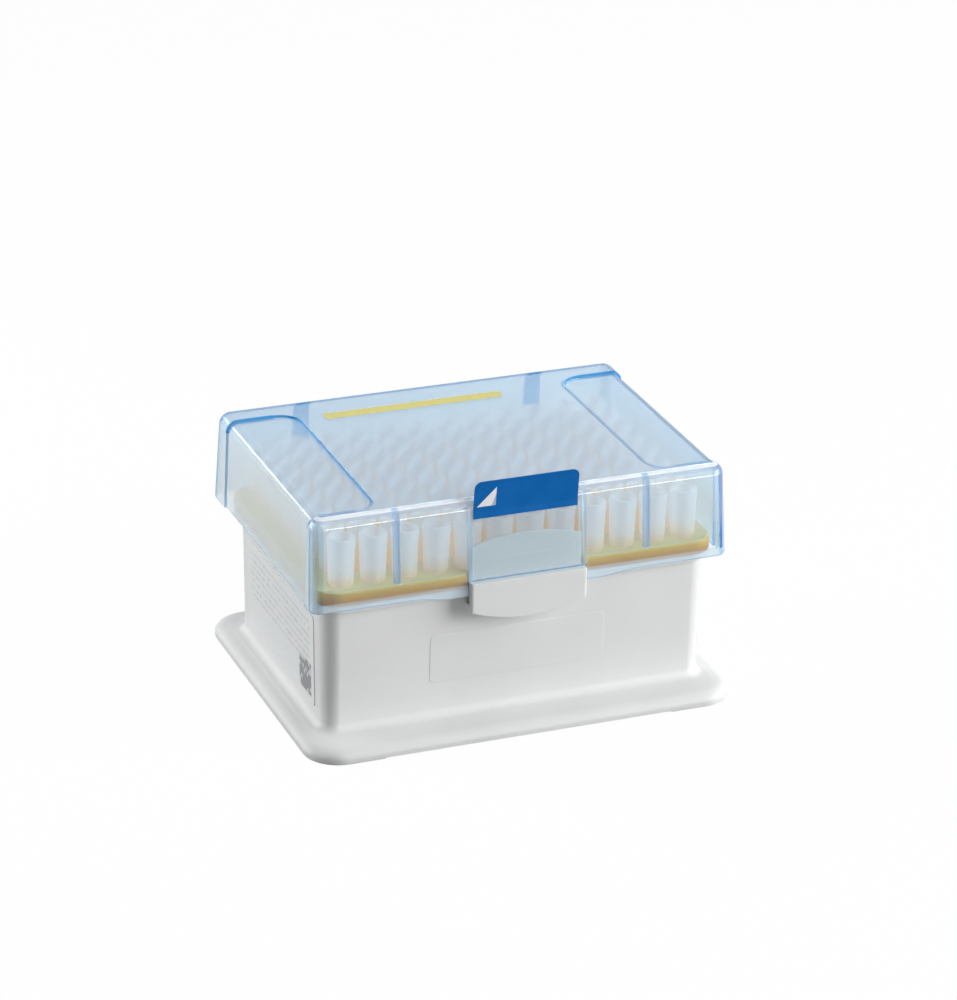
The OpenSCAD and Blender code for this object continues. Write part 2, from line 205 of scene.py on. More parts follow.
def rounded(width, depth, radius, middle=0.0, stops_x=(), stops_y=(), steps=10):
    """Outline of a rectangle with round corners, anticlockwise from its front side.

    stops_x and stops_y are places of extra points on the long and on the short sides."""
    across, along = width / 2 - radius, depth / 2 - radius
    front, back = middle - depth / 2, middle + depth / 2
    return (
        [(x, front) for x in stops_x]
        + arc((across, middle - along), radius, -90, 0, steps)
        + [(width / 2, y) for y in stops_y]
        + arc((across, middle + along), radius, 0, 90, steps)
        + [(x, back) for x in reversed(stops_x)]
        + arc((-across, middle + along), radius, 90, 180, steps)
        + [(-width / 2, y) for y in reversed(stops_y)]
        + arc((-across, middle - along), radius, 180, 270, steps)
    )


def lathe(profile, steps, ripple):
    """A closed turned shape. ripple gives how far a point at (radius, height, step) moves out."""
    shell = Shell()
    turns = [2 * math.pi * i / steps for i in range(steps)]
    rings = []
    for radius, height in profile:
        reach = [radius + ripple(radius, height, i) for i in range(steps)]
        points = [(r * math.cos(t), r * math.sin(t), height) for r, t in zip(reach, turns)]
        rings.append(shell.ring(points))
    shell.bands(rings + rings[:1])
    return shell


def plate_shell(width, height, corner, layers, spot, steps=6):
    """A thin plate with round corners on a wall.

    Each layer is how far it stands out and how much it shrinks, and spot gives the point at
    a place on the plate and a distance out."""
    shell = Shell()
    rings = []
    for out, shrink in layers:
        points = rounded(width - 2 * shrink, height - 2 * shrink, corner, steps=steps)
        rings.append([spot(along, up, out) for along, up in points])
    shell.loft(rings)
    return shell


# ---- materials ----


class Value:
    """An output of a node. Arithmetic on it adds Math nodes."""

    def __init__(self, nodes, socket):
        self.nodes, self.socket = nodes, socket

    def beside(self, output):
        """Another output of the same node."""
        return Value(self.nodes, self.socket.node.outputs[output])

    def maths(self, operation, first, second=0.0):
        return self.nodes.add("ShaderNodeMath", {"operation": operation}, {0: first, 1: second})

    def __add__(self, other):
        return self.maths("ADD", self, other)

    def __sub__(self, other):
        return self.maths("SUBTRACT", self, other)

    def __rsub__(self, other):
        return self.maths("SUBTRACT", other, self)

    def __mul__(self, other):
        return self.maths("MULTIPLY", self, other)

    def __mod__(self, other):
        return self.maths("FLOORED_MODULO", self, other)

    def __abs__(self):
        return self.maths("ABSOLUTE", self)

    __radd__, __rmul__ = __add__, __mul__

    def above(self, level):
        """1 where the value is over level, else 0."""
        return self.maths("GREATER_THAN", self, level)

    def below(self, level):
        """1 where the value is under level, else 0."""
        return self.maths("LESS_THAN", self, level)

    def within(self, low, high):
        """1 between two levels, else 0."""
        return self.above(low) * self.below(high)

    def either(self, other):
        return self.maths("MAXIMUM", self, other)

    def lower(self, other):
        return self.maths("MINIMUM", self, other)

    def root(self):
        return self.maths("SQRT", self)

    def whole(self):
        return self.maths("FLOOR", self)


class Nodes:
    """The nodes of a tree."""

    def __init__(self, tree):
        self.tree = tree

    def add(self, kind, settings=None, inputs=None, output=0):
        """Adds one node. Its settings come first, then the values or links of its sockets."""
        node = self.tree.nodes.new(kind)
        for key, value in (settings or {}).items():
            if key == "stops":
                ramp = node.color_ramp.elements
                while len(ramp) < len(value):
                    ramp.new(1.0)
                for stop, (place, colour) in zip(ramp, value):
                    stop.position, stop.color = place, (*colour, 1.0)
            else:
                setattr(node, key, value)
        for key, value in (inputs or {}).items():
            if isinstance(value, Value):
                self.tree.links.new(value.socket, node.inputs[key])
            elif isinstance(value, tuple) and len(value) == 3 and node.inputs[key].type == "RGBA":
                node.inputs[key].default_value = (*value, 1.0)
            else:
                node.inputs[key].default_value = value
        return Value(self, node.outputs[output])


class Finish(Nodes):
    """The nodes of a material, or of the world."""

    def __init__(self, name, kind="materials"):
        self.made = getattr(bpy.data, kind).new(name)
        self.made.use_nodes = True
        super().__init__(self.made.node_tree)
        self.tree.nodes.clear()

    def place(self):
        """The point being shaded, on the piece, as its X, Y and Z in millimetres."""
        point = self.add("ShaderNodeTexCoord", output="Object")
        split = self.add("ShaderNodeSeparateXYZ", inputs={0: point})
        return [split.beside(axis) * 1000.0 for axis in range(3)]

    def noise(self, scale, detail=2.0):
        """Noise over the piece, with scale lumps to the metre."""
        point = self.add("ShaderNodeTexCoord", output="Object")
        return self.add(
            "ShaderNodeTexNoise", inputs={"Vector": point, "Scale": scale, "Detail": detail}
        )

    def flat(self, kind, x, y, **inputs):
        """A texture of two values."""
        point = self.add("ShaderNodeCombineXYZ", inputs={0: x, 1: y})
        return self.add(
            f"ShaderNodeTex{kind}", {"noise_dimensions": "2D"}, {"Vector": point, **inputs}
        )

    def fade(self, value, low, high, start=0.0, stop=1.0, way="SMOOTHSTEP"):
        """Runs from start to stop as the value goes from low to high."""
        return self.add(
            "ShaderNodeMapRange", {"interpolation_type": way},
            {"Value": value, "From Min": low, "From Max": high, "To Min": start, "To Max": stop},
        )

    def ramp(self, value, stops):
        """Colours along a value. Each stop is a place and its colour."""
        return self.add("ShaderNodeValToRGB", {"stops": stops}, {0: value})

    def mottle(self, noise, dark, light):
        """Two close shades, one running into the other by noise."""
        return self.ramp(noise, [(0.3, dark), (0.7, light)])

    def blend(self, share, first, second):
        """The second colour over the first by share."""
        return self.add(
            "ShaderNodeMix", {"data_type": "RGBA"}, {"Factor": share, 6: first, 7: second}, output=2
        )

    def bump(self, height, distance, strength):
        return self.add(
            "ShaderNodeBump",
            inputs={"Height": height, "Distance": distance * mm, "Strength": strength},
        )

    def plastic(self, **inputs):
        """A Principled shader. Its sockets are named with _ for each space."""
        return self.add(
            "ShaderNodeBsdfPrincipled",
            inputs={key.replace("_", " "): value for key, value in inputs.items()},
        )

    def shader(self, kind, colour):
        """A Translucent or a Transparent shader."""
        return self.add(f"ShaderNodeBsdf{kind}", inputs={"Color": colour})

    def mix(self, share, first, second):
        """The second shader over the first by share."""
        return self.add("ShaderNodeMixShader", inputs={0: share, 1: first, 2: second})

    def done(self, surface, volume=None, kind="Material"):
        """Joins the shaders to the output."""
        output = self.tree.nodes.new(f"ShaderNodeOutput{kind}")
        self.tree.links.new(surface.socket, output.inputs["Surface"])
        if volume is not None:
            self.tree.links.new(volume.socket, output.inputs["Volume"])
        return self.made


def light_rays(finish):
    """1 for rays that carry light to what is behind a clear wall, else 0."""
    path = finish.add("ShaderNodeLightPath", output="Is Shadow Ray")
    return path.either(path.beside("Is Diffuse Ray"))


def white_plastic():
    """Opaque white polypropylene with a fine matt moulding texture."""
    f = Finish("white_polypropylene")
    cloud, grain = f.noise(45, 3.0), f.noise(2600)
    return f.done(
        f.plastic(
            Base_Color=f.mottle(cloud, (0.80, 0.812, 0.805), (0.835, 0.845, 0.84)),
            Roughness=0.42 + cloud * 0.08, IOR=1.49, Specular_IOR_Level=0.28,
            Subsurface_Weight=0.08, Subsurface_Radius=(1.0, 0.95, 0.9), Subsurface_Scale=0.0015,
            Normal=f.bump(grain, 0.02, 0.35),
        )
    )


def amber_plastic():
    """Amber polypropylene of the tray: pale on its top, deep along its skirt and darkest at the bottom,
    with painted light making its end walls paler.
    """
    f = Finish("amber_polypropylene")
    x, _, z = f.place()
    cloud, grain = f.noise(60, 3.0), f.noise(2200)
    height = (z - rim_z) * (1 / (seat_z - rim_z)) + (cloud - 0.5) * 0.2
    edge = f.ramp(
        height, [(0.0, (0.56, 0.18, 0.006)), (0.4, (0.80, 0.35, 0.02)), (0.92, (0.96, 0.60, 0.11))]
    )
    # painted light: the end walls, and the ends of the top, are painted paler
    ends = f.fade(abs(x), tray_high.x - 1.2, tray_high.x - 0.1)
    side = f.blend(ends * 0.75, edge, (0.93, 0.88, 0.72))
    top = f.blend(ends, (1.0, 0.88, 0.44), (0.96, 0.89, 0.62))
    body = f.plastic(
        Base_Color=f.blend(z.above(seat_z - 0.12), side, top), Roughness=0.32 + cloud * 0.08,
        IOR=1.49, Specular_IOR_Level=0.4, Normal=f.bump(grain, 0.02, 0.3),
    )
    return f.done(f.mix(0.2, body, f.shader("Translucent", (0.95, 0.62, 0.16))))


def step_border(x, y):
    """Distance from the border of the lid's end steps, in millimetres: over 0 outside them."""
    middle, half = (grip_front + grip_back) / 2, (grip_back - grip_front) / 2 - grip_r
    across = (grip_x + grip_r) - abs(x)
    along = abs(y - middle) - half
    corner = (across.either(0.0) * across.either(0.0) + along.either(0.0) * along.either(0.0)).root()
    return corner + across.either(along).lower(0.0) - grip_r


def clear_blue():
    """Clear blue polypropylene of the lid: pale walls, lightly frosted, with the ribs and the hinge arms
    deeper blue, painted dark-blue shade along the borders of the steps, a painted highlight along the front
    top edge and painted grey shade over the tongue behind the panel."""
    f = Finish("clear_blue_plastic")
    x, y, z = f.place()
    cloud, ripple, streak = f.noise(55), f.noise(130), f.noise(700, 3.0)
    away, latch_away = abs(x), abs(x - latch_x)

    # where each part lies, with a little to spare round it
    front = y.below(lid_low.y + 4.6)
    roof = z.above(lid_edge_z + 2.2)
    ends = away.above(lid_w / 2 - lid_lean_x - 1.0) * z.below(lid_edge_z + 1.5)
    ribs = abs(away - rib_x).below(0.9) * front * z.above(seat_z + 0.8)
    panel = abs(latch_away - panel_x).below(0.7) * front
    # the panel's window, where painted grey shade darkens the tongue behind it
    painted_tongue_shade = latch_away.below(panel_x) * front
    rim = z.below(lid_bottom + 2.2) * front
    # along the rounded front top edge: a painted highlight, near-white and glowing
    edge = y.below(lid_low.y + 6.5) * z.within(lid_top - 0.6, lid_top - 0.05)
    back = y.above(lid_high.y - 5.0) * z.below(lid_edge_z)
    arms = abs(away - hinge_x).below(arm_half + 0.1) * y.above(lid_high.y - 6.0) * z.above(seat_z)
    # the borders of the steps, where painted dark-blue shade draws their lines
    border_half = away.above(grip_x + grip_r) * 0.4 + 0.26
    steps = (abs(step_border(x, y)) - border_half).below(0.0) * z.above(lid_edge_z)
    slope = abs(y - grip_back).below(1.8) * z.below(lid_edge_z) * x.below(0.0)
    lean = (z - lid_bottom) * (lid_slope + lid_lean_x / (lid_edge_z - lid_bottom))
    corners = away + abs(y - lid_middle) + lean
    corners = corners.above(lid_w / 2 + lid_d / 2 - lid_corner + 0.3)
    far = corners * y.above(0.0)

    shade = f.blend(corners, (0.93, 0.97, 0.995), (0.54, 0.80, 0.97))
    shade = f.blend(arms * (0.6 + streak * 0.6), shade, (0.03, 0.55, 0.88))
    wall = f.plastic(
        Base_Color=shade, Roughness=0.04 + cloud * 0.05, IOR=1.5,
        Transmission_Weight=1.0, Normal=f.bump(ripple, 0.02, 0.1),
    )

    # the frost: its colour is milk and its share veil, which each part has at least so much of; at the
    # front top edge it is near-white and glows, as a painted highlight
    milk = f.blend(roof, f.blend(ends, (0.90, 0.93, 0.96), (0.98, 1.0, 1.0)), (0.56, 0.67, 0.87))
    up = f.fade(z, seat_z, seat_z + 9.0, 0.03, 0.17)
    veil = up * (front * 0.25 + 1.0) + cloud * 0.03 + roof * 0.15
    veil = veil.either(ends * 0.42).either(rim * 0.3)
    for part, colour, least in (
        # the window's grey is painted shade over the tongue
        (painted_tongue_shade, (0.63, 0.60, 0.58), 0.22), (back, (0.84, 0.97, 1.0), 0.24),
        # the edge's near-white is a painted highlight
        (far, (0.36, 0.64, 0.88), 0.4), (edge, (0.96, 0.98, 1.0), 0.8),
        (ribs, (0.44, 0.60, 0.84), 0.42), (panel, (0.64, 0.78, 0.90), 0.3),
        # the steps' deep blue is painted shade along their borders
        (arms, (0.02, 0.42, 0.74), 0.38), (steps, (0.03, 0.30, 0.70), 0.6),
    ):
        milk = f.blend(part, milk, colour)
        veil = veil.either(part * least)
    frost_and_painted_highlight = f.plastic(
        Base_Color=milk, Roughness=0.6, Specular_IOR_Level=0.0, Emission_Strength=1.0,
        Emission_Color=f.blend(edge, (0.0, 0.0, 0.0), (0.12, 0.12, 0.13)),
    )

    # light that meets a face at a slant from inside stays in the wall and shows as deeper blue
    inside = f.add("ShaderNodeNewGeometry", output="Backfacing")
    slant = f.add("ShaderNodeLayerWeight", inputs={"Blend": 0.5}, output="Facing")
    trapped = inside * (1 - slope * 0.8) * f.fade(slant, 0.25, 0.32, way="LINEAR")
    solid = f.mix(trapped, f.mix(veil, wall, frost_and_painted_highlight), f.shader("Transparent", (0.20, 0.50, 0.84)))
    tint = f.add(
        "ShaderNodeVolumeAbsorption", inputs={"Color": (0.03, 0.68, 0.97), "Density": 98.0}
    )
    through = f.shader("Transparent", (1.0, 1.0, 1.0))
    return f.done(f.mix(light_rays(f), solid, through), tint)


def tip_plastic():
    """Natural polypropylene of the tips: thin and milky, with a painted glow over them and painted amber
    light from the tray at their seats, more so away from the outermost tips."""
    f = Finish("natural_polypropylene")
    x, y, z = f.place()
    cloud = f.noise(300)
    amber = (0.98, 0.67, 0.17)
    inner = abs(x).below((tips_across / 2 - 1) * pitch) * abs(y).below((tips_deep / 2 - 1) * pitch)
    # painted light: amber bounce from the tray, fading up from the seats and stronger on the inner rows
    share = f.fade(z - inner * 5.0, seat_z - 2.0, seat_z + 6.5, 1.0, 0.0) * (0.55 + inner * 0.45)
    milk = f.mottle(cloud, (0.76, 0.76, 0.77), (0.80, 0.80, 0.80))
    # the emission is a painted glow, pale over the tips and amber where the painted tray light is
    body = f.plastic(
        Base_Color=f.blend(share, milk, amber), Roughness=0.26 + cloud * 0.1, IOR=1.49,
        Specular_IOR_Level=0.4, Emission_Strength=1.0,
        Emission_Color=f.blend(share, (0.30, 0.30, 0.31), (0.38, 0.26, 0.08)),
    )
    # the translucent layer turns amber where the painted tray light is
    glow = f.mix(share, f.shader("Translucent", (0.88, 0.88, 0.88)), f.shader("Translucent", amber))
    clear = f.shader("Transparent", (0.98, 0.97, 0.98))
    return f.done(f.mix(0.42 + light_rays(f) * 0.28, f.mix(0.5, body, glow), clear))


def seal_film(print_z):
    """Thin clear film, printed blue above print_z, with a white peel mark at the left."""
    f = Finish("printed_seal_film")
    x, _, z = f.place()
    cloud = f.noise(220)
    blue = f.mottle(cloud, (0.002, 0.135, 0.45), (0.004, 0.15, 0.50))
    # the mark is a leaf below a diagonal, with a greyer fold in its lower corner
    mark_x, mark_z, wide, tall, fold_tall = -13.6, print_z + 3.4, 5.4, 5.6, 3.4
    right, up = x - mark_x, z - mark_z
    leaf = right.within(0.0, wide) * up.within(0.0, tall) * (up - right * 1.02).below(0.0)
    fold = (right - wide - up * 0.35 + 1.2).above(0.0) * up.above(0.0) * up.below(fold_tall)
    printed = z.above(print_z)
    colour = f.blend(leaf * (1 - fold * 0.5) * printed, blue, (0.93, 0.93, 0.92))
    return f.done(
        f.plastic(
            Base_Color=f.blend(printed, (0.9, 0.92, 0.94), colour), Roughness=0.35 + cloud * 0.1,
            IOR=1.45, Alpha=printed * 0.96 + 0.04, Specular_IOR_Level=0.15,
        )
    )


def label_paper(low, high):
    """White label paper with ruled grey lines and a small generic block."""
    f = Finish("printed_label_paper")
    _, y, z = f.place()
    fibre = f.noise(900, 3.0)
    margin, line_height, lines, block, cells_per_mm = 2.2, 2.1, 7.0, 9.6, 0.834
    row = (high.z - z - 2.6) * (1 / line_height)
    line = (row % 1.0).below(0.42) * row.within(0.0, lines)
    word = f.flat("Noise", y * 1.7, row.whole() * 7.3, Scale=1.0).above(0.5)
    ruled = line * word * y.within(low.y + 3.5, high.y - 4.0)
    block_y, block_z = y - (low.y + margin), z - (low.z + margin)
    inside = block_y.within(0.0, block) * block_z.within(0.0, block)
    column, line_of_cells = (block_y * cells_per_mm).whole(), (block_z * cells_per_mm).whole()
    cells = f.flat("WhiteNoise", column, line_of_cells)
    ink = ruled * (1 - inside) * 0.24 + inside * (0.25 + cells.above(0.3) * 0.45)
    paper = f.mottle(fibre, (0.80, 0.82, 0.82), (0.85, 0.87, 0.87))
    return f.done(
        f.plastic(
            Base_Color=f.blend(ink, paper, (0.12, 0.13, 0.15)), Roughness=0.5 + fibre * 0.1,
            Specular_IOR_Level=0.35,
        )
    )


def yellow_ink():
    """Yellow screen print on the lid."""
    f = Finish("yellow_ink")
    cloud = f.noise(400)
    colour = f.mottle(cloud, (0.87, 0.79, 0.21), (0.91, 0.83, 0.25))
    return f.done(f.plastic(Base_Color=colour, Roughness=0.35 + cloud * 0.1, Alpha=0.88))


def studio_floor():
    """White floor that shows as the plain background and keeps the box's soft shadow."""
    f = Finish("studio_floor")
    cloud = f.noise(3)
    path = f.add("ShaderNodeLightPath", output="Is Camera Ray")
    seen = path.either(path.beside("Is Transmission Ray"))
    grey = f.ramp(cloud, [(0.0, (0.35, 0.35, 0.35)), (1.0, (0.36, 0.36, 0.36))])
    matt = f.plastic(
        Base_Color=f.blend(seen, grey, (0.96, 0.96, 0.96)), Roughness=0.9, Specular_IOR_Level=0.1
    )
    plain = f.add("ShaderNodeEmission", inputs={"Color": (1.0, 1.0, 1.0), "Strength": 1.0})
    return f.done(f.mix(seen * 0.97, matt, plain))


# ---- base ----


def base_shell():
    """The white moulding: foot, body and rim flange, as one closed skin."""
    foot_w, foot_d = foot_high.x - foot_low.x, foot_high.y - foot_low.y
    body_w, body_d, wall = rim_w - 2 * flange_out, rim_d - 2 * flange_out, body_wall
    relief, step = 0.5, 0.2  # the relief between the pads, and the length of the step up to it
    stops = [-pads_x - step, -pads_x + step, 0.0, pads_x - step, pads_x + step]
    rings = []

    def level(width, depth, corner, inset, height):
        points = rounded(width - 2 * inset, depth - 2 * inset, corner, 0.0, stops, (0.0,), 12)
        rings.append([(x, y, height) for x, y in points])

    def foot(*profile):
        for inset, height in profile:
            level(foot_w, foot_d, max(foot_corner - inset, 2.0), inset, height)

    def body(*profile):
        for inset, height in profile:
            inset += body_lean(height)
            level(body_w, body_d, max(body_corner - inset, 0.8), inset, height)

    def rim(*profile):
        for inset, height in profile:
            level(rim_w, rim_d, max(flange_corner - inset, 0.8), inset, height)

    # each point is how far it lies in from its outline, and its height:
    # the hollow under the foot, then its edge, rolled over at the top
    foot((4.0, 1.9), (2.8, 1.9), *arc((2.8, 1.1), 0.8, 90, 180, 4)[1:])
    foot((1.95, 0.35), (1.6, 0.0), (0.7, 0.0), (0.2, 0.12), (0.0, 0.5))
    for turn in range(0, 91, 9):
        t = math.radians(turn)
        foot((3.4 * (1 - math.cos(t)), 1.5 + 2.1 * math.sin(t) + 0.25 * (1 - math.cos(t))))
    body((-2.8, 4.1), *arc((-2.4, 6.6), 2.4, -90, 0, 9))
    # the body, the flange and its rounded edge
    body((0.0, 9.5), (0.0, rim_z - 4.4), *arc((-0.8, rim_z - 3.0), 0.8, 0, 90, 4))
    rim((0.35, rim_z - 2.2), (0.08, rim_z - 2.1), (0.0, rim_z - 1.85))
    rim((0.0, rim_z - 0.35), (0.08, rim_z - 0.1), (0.35, rim_z))
    # inside, down to the floor
    body((wall - 0.3, rim_z), (wall - 0.06, rim_z - 0.08), (wall, rim_z - 0.3), (wall, 6.0))
    body(*arc((wall + 1.2, 5.4), 1.2, 180, 270, 5), (wall + 2.5, 4.2))

    shell = Shell()
    shell.loft(rings)
    # the stretch between the corner pads stands clear of the ground
    for p in shell.points:
        if abs(p.x) < pads_x and p.z < relief and abs(p.y) > foot_d / 2 - 3:
            p.z = relief
    return shell


def bowed(half, bow, round_off, steps):
    """Places across a plate with a bowed edge and rounded sides, closest at its sides.

    Gives each place with the edge's rise there and how far the rounding draws in."""
    bend = (half**2 + bow**2) / (2 * bow)
    for i in range(steps + 1):
        x = half * math.sin((2 * i / steps - 1) * math.pi / 2)
        end = 1 - min(1.0, (half - abs(x)) / round_off)
        soft = round_off * (1 - math.sqrt(max(0.0, 1 - end**2)))
        yield x, bend - math.sqrt(bend**2 - x * x), soft


def press_tab():
    """The tab on the front and the thin tongue that stands up behind the lid's panel."""
    top, drop, lid_face = rim_z + tab_lift, 11.8, lid_low.y
    face = lid_face - 1.0
    shell = Shell()
    rings = []
    for x, rise, soft in bowed(16.7, 3.2, 0.5, 36):
        low, front = top - drop + rise, face + soft
        section = (
            (front + 0.5, low), (front + 0.15, low + 0.15), (front, low + 0.5), (front, top - 0.5),
            (front + 0.12, top - 0.12), (front + 0.45, top), (lid_face + 2.2, top),
            (lid_face + 3.3, top - 0.1), (lid_face + 3.3, top - 1.7), (face + 1.6, top - 3.2),
            (face + 1.6, low + 1.8), (lid_face + 4.3, low + 1.6), (lid_face + 4.3, low),
        )
        rings.append([(x, y, z) for y, z in section])
    shell.loft(rings)

    tall, thick, root, root_y = 11.4, 1.2, top - 1.0, lid_face + 2.24
    rings = []
    for x, fall, soft in bowed(16.2, 2.4, 0.4, 32):
        high = top + tall - fall
        head_y = root_y + lid_slope * (high - top)
        section = (
            (root_y + soft, root), (head_y + soft, high - 0.4), (head_y + 0.12, high - 0.1),
            (head_y + 0.4, high), (head_y + thick - 0.4, high), (head_y + thick - 0.12, high - 0.1),
            (head_y + thick - soft, high - 0.4), (root_y + thick - soft, root),
        )
        rings.append([(x, y, z) for y, z in section])
    shell.loft(rings)
    for p in shell.points:
        p.x += latch_x
    return shell


def name_panel():
    """The shallow raised panel on the front."""
    middle_z, wall = 21.6, flange_out - rim_d / 2

    def spot(x, up, out):
        z = middle_z + up
        return x, wall + body_lean(z) - out, z

    layers = ((-0.6, 0.0), (0.03, 0.0), (0.07, 0.1), (0.09, 0.4), (0.09, 1.0))
    return plate_shell(50.8, 14.2, 1.2, layers, spot)


def hinge_lugs():
    """The four bearing lugs on the back of the flange."""
    shell = Shell()
    tilt = math.radians(32)
    back = Vector((-math.cos(tilt), -math.sin(tilt)))
    side = Vector((-back.y, back.x))
    middle = Vector((hinge_y, hinge_z))
    start = math.degrees(math.atan2(side.y, side.x))
    eye_steps = 20
    outline = arc(middle, lug_r, start, start - 180, eye_steps)
    outline.append(tuple(middle + back * 3.4 - side * lug_r))
    flange_y = tray_high.y
    outline += [(flange_y - 0.4, rim_z - 2.0), (flange_y - 0.4, rim_z - 0.1)]
    outline += [(flange_y + 0.4, rim_z - 0.1), (flange_y + 0.4, hinge_z + 0.1)]
    bore = arc(middle, lug_bore, start, start - 360, 24)[:-1]
    half = len(bore) // 2
    for hinge in (-1, 1):
        for lug in (-1, 1):
            inner = hinge * hinge_x + lug * (arm_half + lug_gap)
            walls = []
            for x in sorted((inner, inner + lug * lug_t)):
                rim = shell.ring([(x, y, z) for y, z in outline])
                walls.append((rim, shell.ring([(x, y, z) for y, z in bore])))
            for one, other in zip(*walls):
                shell.band(one, other)
            # the flat sides: round the eye first, then the rest of the lug
            for rim, hole in walls:
                for i in range(eye_steps):
                    a, b = round(i * half / eye_steps), round((i + 1) * half / eye_steps)
                    shell.faces.append(tuple(dict.fromkeys((rim[i], rim[i + 1], hole[b], hole[a]))))
                shell.faces.append(tuple(rim[eye_steps:] + rim[:1] + hole[:1] + hole[: half - 1 : -1]))
    return shell


# ---- lid ----


def grip_share(y, grow):
    """How far down the step is at y on an end wall: 0 on the lid's own face, 1 on the step."""
    inside = min(y - grip_front, grip_back + grow - y)
    for (near, low), (far, high) in zip(grip_slope, grip_slope[1:]):
        if inside <= near + 1e-6:
            return low
        if inside <= far:
            return low + (high - low) * (inside - near) / (far - near)
    return 1.0


def lid_skin(shell, inset, roof, grow):
    """One skin of the lid, outer or inner, with the steps at its ends. Returns its lowest ring.

    It lies inset behind the walls and roof below the top, and its steps are longer by grow."""
    edge = lid_edge - inset
    corner = lid_corner - 0.8 * inset
    top = lid_top - roof
    front, back, side, end_walls = grip_front, grip_back + grow, grip_x - grow, grip_x + grip_r
    stops_x = [-40.0, *(latch_x + x for x in (-32.1, -22.1, -17, 0, 17, 22.1, 32.1)), 40.0]
    slopes = [near for near, _ in grip_slope]
    stops_y = [front + near for near in slopes] + [-15.0, 5.0, 20.0]
    stops_y += [back - near for near in reversed(slopes)]
    corner_steps = 12
    # each level is its share of the walls' lean, its turn over the edge and its height
    rows = []
    levels = [(0.0, 0, lid_bottom + 0.3), (0.1, 0, lid_bottom + 2.6)]
    for turn in range(0, 91, 9):
        levels.append((1.0, turn, top - edge + edge * math.sin(math.radians(turn))))
    for lean, turn, height in levels:
        t = math.radians(turn)
        pull = inset + edge * (1 - math.cos(t))
        points = rounded(
            lid_w - 2 * (lid_lean_x * lean + pull), lid_d - 2 * (lid_lean_y * lean + pull),
            max(corner + inset - pull, 0.4), lid_middle, stops_x, stops_y, corner_steps,
        )
        ring = []
        for x, y in points:
            share = grip_share(y, grow) * grip_step if abs(x) > end_walls else 0.0
            ring.append((x - math.copysign(share * math.cos(t), x), y, height - share * math.sin(t)))
        rows.append(shell.ring(ring))
    shell.bands(rows)

    # the flat top: its middle, and the two steps with their rounded borders
    rim = rows[-1]
    count, corner_points = len(stops_y), corner_steps + 1
    right = len(stops_x) + corner_points
    left = right + count + corner_points + len(stops_x) + corner_points
    borders = {}
    for way, start in ((1, right), (-1, left)):
        paths = []
        for i, (near, share) in enumerate(grip_slope):
            turns = arc((side + grip_r, front + grip_r), grip_r - near, -90, -180, 8)
            turns += arc((side + grip_r, back - grip_r), grip_r - near, 180, 90, 8)
            path = shell.ring([(way * x, y, top - share * grip_step) for x, y in turns])
            near_end, far_end = [rim[start + i], rim[start + count - 1 - i]][::way]
            paths.append([near_end, *path, far_end])
        shell.bands(paths, closed=False)
        flat = rim[start + len(grip_slope) : start + count - len(grip_slope)]
        shell.faces.append(tuple(paths[-1] + flat[::-way]))
        borders[way] = paths[0]
    back_run, front_run = rim[right + count : left], rim[left + count :] + rim[:right]
    shell.faces.append(tuple(borders[1] + back_run + borders[-1][::-1] + front_run))
    return rows[0]


def lid_shell():
    """The clear moulding as one closed skin, outside and inside, joined round its lower edge."""
    shell = Shell()
    outer = lid_skin(shell, 0.0, 0.0, 0.0)
    inner = lid_skin(shell, lid_wall, lid_roof, 0.6)
    spots = [shell.points[i].copy() for i in outer]
    inward = [shell.points[j] - shell.points[i] for i, j in zip(outer, inner)]
    rows = [outer]
    for share, height in ((0.08, 0.08), (0.27, 0.0), (0.73, 0.0), (0.92, 0.08)):
        z = lid_bottom + height
        lip = [(p.x + d.x * share, p.y + d.y * share, z) for p, d in zip(spots, inward)]
        rows.append(shell.ring(lip))
    rows.append(inner)
    shell.bands(rows)
    # the lower edge dips beside the tab
    dip, dip_x, dip_run = 1.1, 32.1, 10.0
    for row in rows:
        for i in row:
            p = shell.points[i]
            if p.y < lid_low.y + 2:
                p.z -= dip * max(0.0, min(1.0, (dip_x - abs(p.x - latch_x)) / dip_run))
    return shell


def front_inside(z):
    """The inner face of the lid's front wall at a height."""
    return lid_low.y + lid_wall + lid_slope * (z - lid_bottom)


def front_rib(x, wide, out):
    """A rib on the inside of the front wall, sunk into the wall and the roof."""
    shell = Shell()
    half, bevel, sunk = wide / 2, 0.25, 0.5
    rings = []
    for z in (seat_z + 1.0, lid_top - 0.9):
        face, root = front_inside(z) + out, front_inside(z) - sunk
        rings.append(
            [
                (x - half, root, z), (x + half, root, z), (x + half, face - bevel, z),
                (x + half - bevel, face, z), (x - half + bevel, face, z), (x - half, face - bevel, z),
            ]
        )
    shell.loft(rings)
    return shell


def turned(x, half, radius):
    """A cylinder on the hinge axis, round the place x, with a bevel at its ends."""
    shell = Shell()
    bevel, steps = 0.2, 28
    rings = []
    for away, r in (
        (-half, radius - bevel), (bevel - half, radius), (half - bevel, radius), (half, radius - bevel)
    ):
        rings.append([(x + away, y, z) for y, z in arc((hinge_y, hinge_z), r, 0, 360, steps)[:-1]])
    shell.loft(rings)
    return shell


def hinge_arm(x):
    """An arm down from the roof to its knuckle."""
    shell = Shell()
    wall_y = lid_high.y - lid_wall
    low = (x - arm_half, hinge_y - 0.6, hinge_z)
    shell.block(low, (x + arm_half, wall_y - 1.2, lid_top - 0.7))
    for p in shell.points:
        if p.y > hinge_y:
            p.y = wall_y + 0.5 - lid_slope * (p.z - lid_bottom)
            if p.z > lid_edge_z:
                p.y -= 0.6
    return shell


